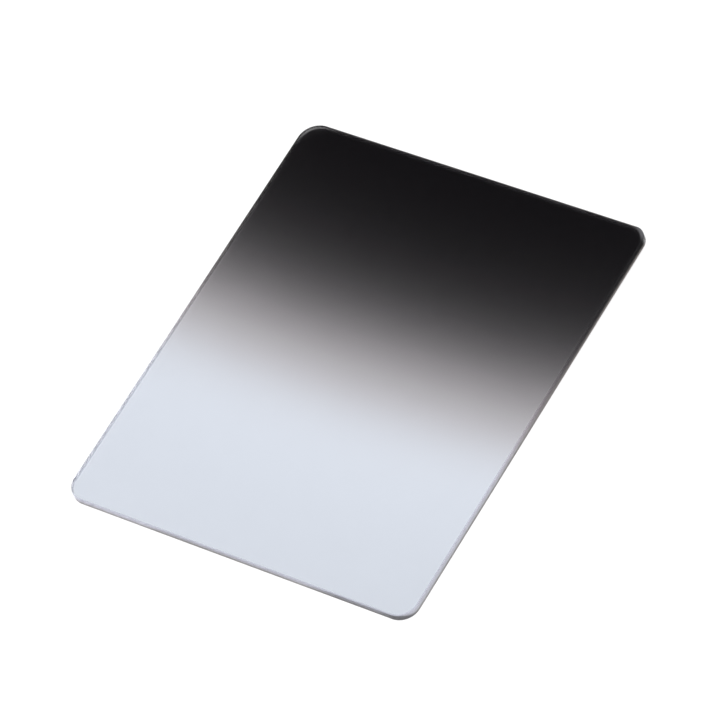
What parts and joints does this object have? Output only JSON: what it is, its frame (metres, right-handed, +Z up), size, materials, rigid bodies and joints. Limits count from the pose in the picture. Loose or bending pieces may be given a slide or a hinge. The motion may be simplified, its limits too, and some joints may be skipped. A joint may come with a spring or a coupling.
{
  "type": "rectangular graduated neutral density filter",
  "caption": "Flat rectangular glass plate with rounded corners that darkens evenly from a clear end to a dark end, for sliding into a camera lens filter holder.",
  "frame": {"origin": "centre of the underside, the large face that the plate lies on", "axes": "+X across the plate's width, +Y along its length from the clear end to the dark end, +Z up through its thickness"},
  "size_m": [0.084, 0.1, 0.002],
  "materials": {
    "graduated_glass": "polished faces with a neutral grey gradient along the length, near black at the +Y end and almost clear from the middle to the -Y end; edges finely ground to a satin grey"
  },
  "bodies": {
    "root": {"filter_plate": "graduated_glass"}
  },
  "joints": []
}
